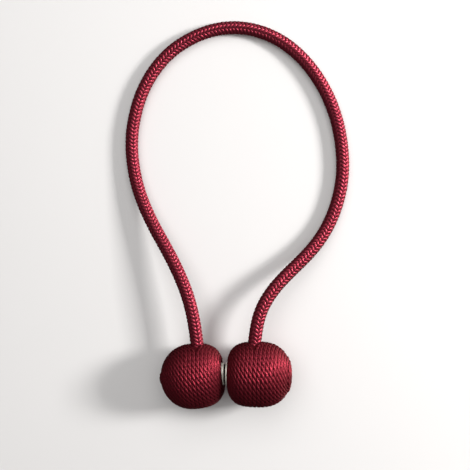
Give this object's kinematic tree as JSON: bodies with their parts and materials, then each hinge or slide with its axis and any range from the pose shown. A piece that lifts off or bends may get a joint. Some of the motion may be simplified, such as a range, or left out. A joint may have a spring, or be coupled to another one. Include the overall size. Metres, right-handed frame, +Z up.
{
  "type": "magnetic curtain tieback",
  "caption": "Wine-red curtain tieback: a braided cord loop whose yarn-wound balls snap together with disc magnets, closed and laid flat.",
  "frame": {"origin": "on the surface it lies on, under the middle of the pair of balls", "axes": "+X through the magnets from the left ball to the right ball, +Y from the balls towards the far end of the cord's loop, +Z up"},
  "size_m": [0.1241, 0.2123, 0.0348],
  "materials": {
    "wound_yarn": "shiny twisted polyester yarn, wine red",
    "braided_cord": "shiny braided polyester cord, wine red",
    "nickel": "polished nickel plate"
  },
  "bodies": {
    "root": {"ball_left": "wound_yarn", "ball_right": "wound_yarn", "magnet_left": "nickel", "magnet_right": "nickel", "cord": "braided_cord"}
  },
  "joints": []
}
